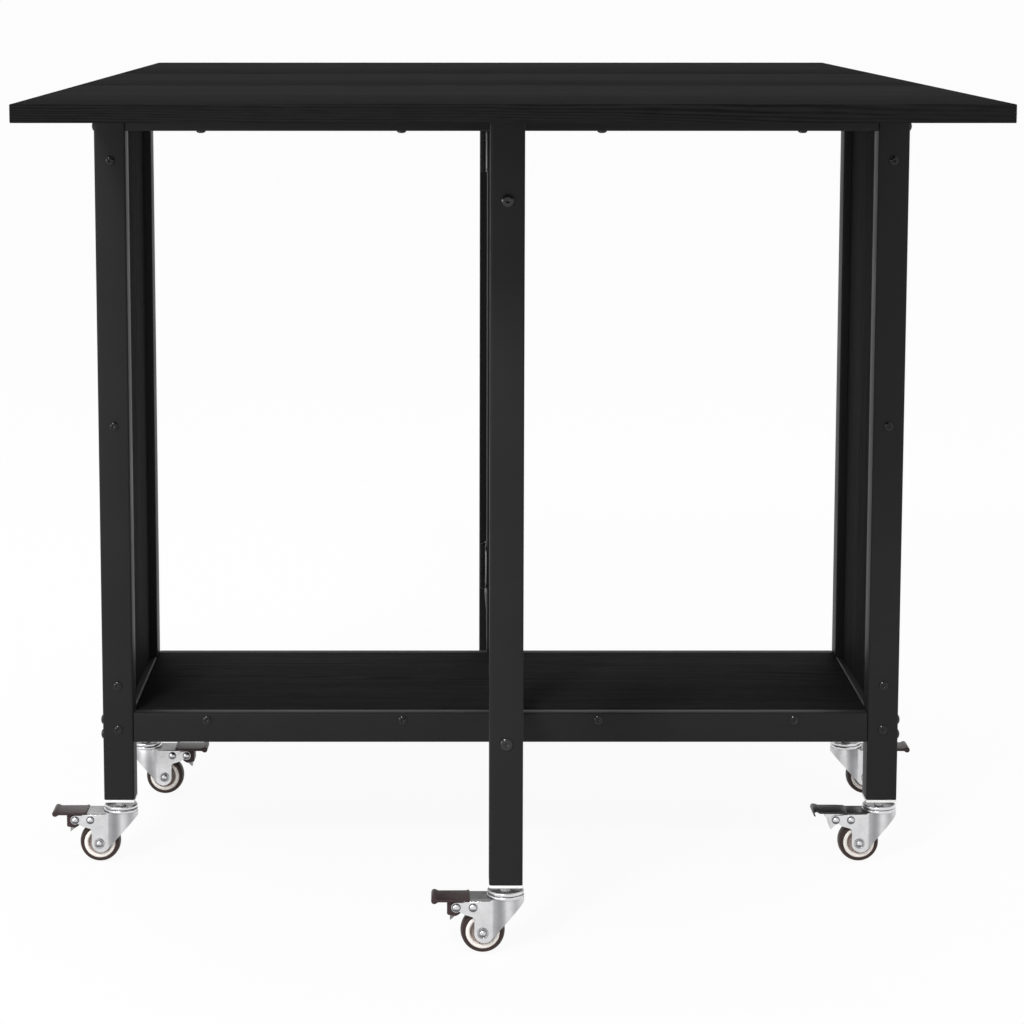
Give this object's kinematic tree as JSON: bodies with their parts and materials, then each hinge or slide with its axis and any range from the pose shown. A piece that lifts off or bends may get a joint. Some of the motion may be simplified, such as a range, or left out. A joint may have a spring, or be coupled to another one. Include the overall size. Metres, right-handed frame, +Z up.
{
  "type": "folding dining table",
  "caption": "Drop-leaf dining table with its leaves raised on swing-out gate legs, over a steel tube frame with a low shelf, end panels and braked swivel casters.",
  "frame": {"origin": "on the floor under the middle of the top", "axes": "+X along the leaf hinges, -Y to the front leaf, +Z up"},
  "size_m": [0.8834, 1.2, 0.767],
  "materials": {
    "board": "black wood-grain board",
    "tube": "black powder coat",
    "zinc": "bright zinc",
    "insert": "white",
    "tyre": "dark brown",
    "pedal": "dark brown"
  },
  "bodies": {
    "frame": {"centre_top": "board", "shelf_board": "board", "end_panel_left": "board", "end_panel_right": "board", "leg_front_left": "tube", "leg_front_right": "tube", "leg_rear_left": "tube", "leg_rear_right": "tube", "top_rail_front": "tube", "top_rail_rear": "tube", "top_rail_left": "tube", "top_rail_right": "tube", "shelf_rail_front": "tube", "shelf_rail_rear": "tube", "shelf_rail_left": "tube", "shelf_rail_right": "tube", "hinge_post_front": "tube", "hinge_post_rear": "tube", "gate_hinge_front_upper": "zinc", "gate_hinge_front_lower": "zinc", "gate_hinge_rear_upper": "zinc", "gate_hinge_rear_lower": "zinc", "leaf_hinge_front_left_fixed": "zinc", "leaf_hinge_front_right_fixed": "zinc", "leaf_hinge_rear_left_fixed": "zinc", "leaf_hinge_rear_right_fixed": "zinc", "caster_front_left_socket": "insert", "caster_front_right_socket": "insert", "caster_rear_left_socket": "insert", "caster_rear_right_socket": "insert"},
    "front_leaf": {"front_leaf": "board", "leaf_hinge_front_left_moving": "zinc", "leaf_hinge_front_right_moving": "zinc"},
    "rear_leaf": {"rear_leaf": "board", "leaf_hinge_rear_left_moving": "zinc", "leaf_hinge_rear_right_moving": "zinc"},
    "front_gate": {"gate_frame_front": "tube", "gate_leg_front": "tube", "caster_gate_front_socket": "insert"},
    "rear_gate": {"gate_frame_rear": "tube", "gate_leg_rear": "tube", "caster_gate_rear_socket": "insert"},
    "front_left_fork": {"caster_front_left_fork": "zinc"},
    "front_left_wheel": {"caster_front_left_wheel": "tyre"},
    "front_left_brake": {"caster_front_left_brake": "pedal"},
    "front_right_fork": {"caster_front_right_fork": "zinc"},
    "front_right_wheel": {"caster_front_right_wheel": "tyre"},
    "front_right_brake": {"caster_front_right_brake": "pedal"},
    "rear_left_fork": {"caster_rear_left_fork": "zinc"},
    "rear_left_wheel": {"caster_rear_left_wheel": "tyre"},
    "rear_left_brake": {"caster_rear_left_brake": "pedal"},
    "rear_right_fork": {"caster_rear_right_fork": "zinc"},
    "rear_right_wheel": {"caster_rear_right_wheel": "tyre"},
    "rear_right_brake": {"caster_rear_right_brake": "pedal"},
    "gate_front_fork": {"caster_gate_front_fork": "zinc"},
    "gate_front_wheel": {"caster_gate_front_wheel": "tyre"},
    "gate_front_brake": {"caster_gate_front_brake": "pedal"},
    "gate_rear_fork": {"caster_gate_rear_fork": "zinc"},
    "gate_rear_wheel": {"caster_gate_rear_wheel": "tyre"},
    "gate_rear_brake": {"caster_gate_rear_brake": "pedal"}
  },
  "joints": [
    {"name": "front_leaf_lift", "type": "hinge", "parent": "frame", "child": "front_leaf", "pos_m": [0, -0.171, 0.7482], "axis": [-1, 0, 0], "range_deg": [0, 5]},
    {"name": "rear_leaf_lift", "type": "hinge", "parent": "frame", "child": "rear_leaf", "pos_m": [0, 0.171, 0.7482], "axis": [1, 0, 0], "range_deg": [0, 5]},
    {"name": "front_gate_swing", "type": "hinge", "parent": "frame", "child": "front_gate", "pos_m": [0.0138, -0.1387, 0.4375], "axis": [0, 0, 1], "range_deg": [0, 90]},
    {"name": "rear_gate_swing", "type": "hinge", "parent": "frame", "child": "rear_gate", "pos_m": [-0.0138, 0.1387, 0.4375], "axis": [0, 0, 1], "range_deg": [0, 90]},
    {"name": "front_left_swivel", "type": "hinge", "parent": "frame", "child": "front_left_fork", "pos_m": [-0.375, -0.12, 0.05], "axis": [0, 0, 1], "continuous": true},
    {"name": "front_left_roll", "type": "hinge", "parent": "front_left_fork", "child": "front_left_wheel", "pos_m": [-0.3955, -0.12, 0.02], "axis": [0, 1, 0], "continuous": true},
    {"name": "front_left_brake_press", "type": "hinge", "parent": "front_left_fork", "child": "front_left_brake", "pos_m": [-0.41919, -0.12, 0.04369], "axis": [0, -1, 0], "range_deg": [0, 12]},
    {"name": "front_right_swivel", "type": "hinge", "parent": "frame", "child": "front_right_fork", "pos_m": [0.375, -0.12, 0.05], "axis": [0, 0, 1], "continuous": true},
    {"name": "front_right_roll", "type": "hinge", "parent": "front_right_fork", "child": "front_right_wheel", "pos_m": [0.3545, -0.12, 0.02], "axis": [0, 1, 0], "continuous": true},
    {"name": "front_right_brake_press", "type": "hinge", "parent": "front_right_fork", "child": "front_right_brake", "pos_m": [0.33081, -0.12, 0.04369], "axis": [0, -1, 0], "range_deg": [0, 12]},
    {"name": "rear_left_swivel", "type": "hinge", "parent": "frame", "child": "rear_left_fork", "pos_m": [-0.375, 0.12, 0.05], "axis": [0, 0, 1], "continuous": true},
    {"name": "rear_left_roll", "type": "hinge", "parent": "rear_left_fork", "child": "rear_left_wheel", "pos_m": [-0.3545, 0.12, 0.02], "axis": [0, 1, 0], "continuous": true},
    {"name": "rear_left_brake_press", "type": "hinge", "parent": "rear_left_fork", "child": "rear_left_brake", "pos_m": [-0.33081, 0.12, 0.04369], "axis": [0, 1, 0], "range_deg": [0, 12]},
    {"name": "rear_right_swivel", "type": "hinge", "parent": "frame", "child": "rear_right_fork", "pos_m": [0.375, 0.12, 0.05], "axis": [0, 0, 1], "continuous": true},
    {"name": "rear_right_roll", "type": "hinge", "parent": "rear_right_fork", "child": "rear_right_wheel", "pos_m": [0.3955, 0.12, 0.02], "axis": [0, 1, 0], "continuous": true},
    {"name": "rear_right_brake_press", "type": "hinge", "parent": "rear_right_fork", "child": "rear_right_brake", "pos_m": [0.41919, 0.12, 0.04369], "axis": [0, 1, 0], "range_deg": [0, 12]},
    {"name": "gate_front_swivel", "type": "hinge", "parent": "front_gate", "child": "gate_front_fork", "pos_m": [0, -0.392, 0.05], "axis": [0, 0, 1], "continuous": true},
    {"name": "gate_front_roll", "type": "hinge", "parent": "gate_front_fork", "child": "gate_front_wheel", "pos_m": [-0.0205, -0.392, 0.02], "axis": [0, 1, 0], "continuous": true},
    {"name": "gate_front_brake_press", "type": "hinge", "parent": "gate_front_fork", "child": "gate_front_brake", "pos_m": [-0.04419, -0.392, 0.04369], "axis": [0, -1, 0], "range_deg": [0, 12]},
    {"name": "gate_rear_swivel", "type": "hinge", "parent": "rear_gate", "child": "gate_rear_fork", "pos_m": [0, 0.392, 0.05], "axis": [0, 0, 1], "continuous": true},
    {"name": "gate_rear_roll", "type": "hinge", "parent": "gate_rear_fork", "child": "gate_rear_wheel", "pos_m": [0.0205, 0.392, 0.02], "axis": [0, 1, 0], "continuous": true},
    {"name": "gate_rear_brake_press", "type": "hinge", "parent": "gate_rear_fork", "child": "gate_rear_brake", "pos_m": [0.04419, 0.392, 0.04369], "axis": [0, 1, 0], "range_deg": [0, 12]}
  ]
}
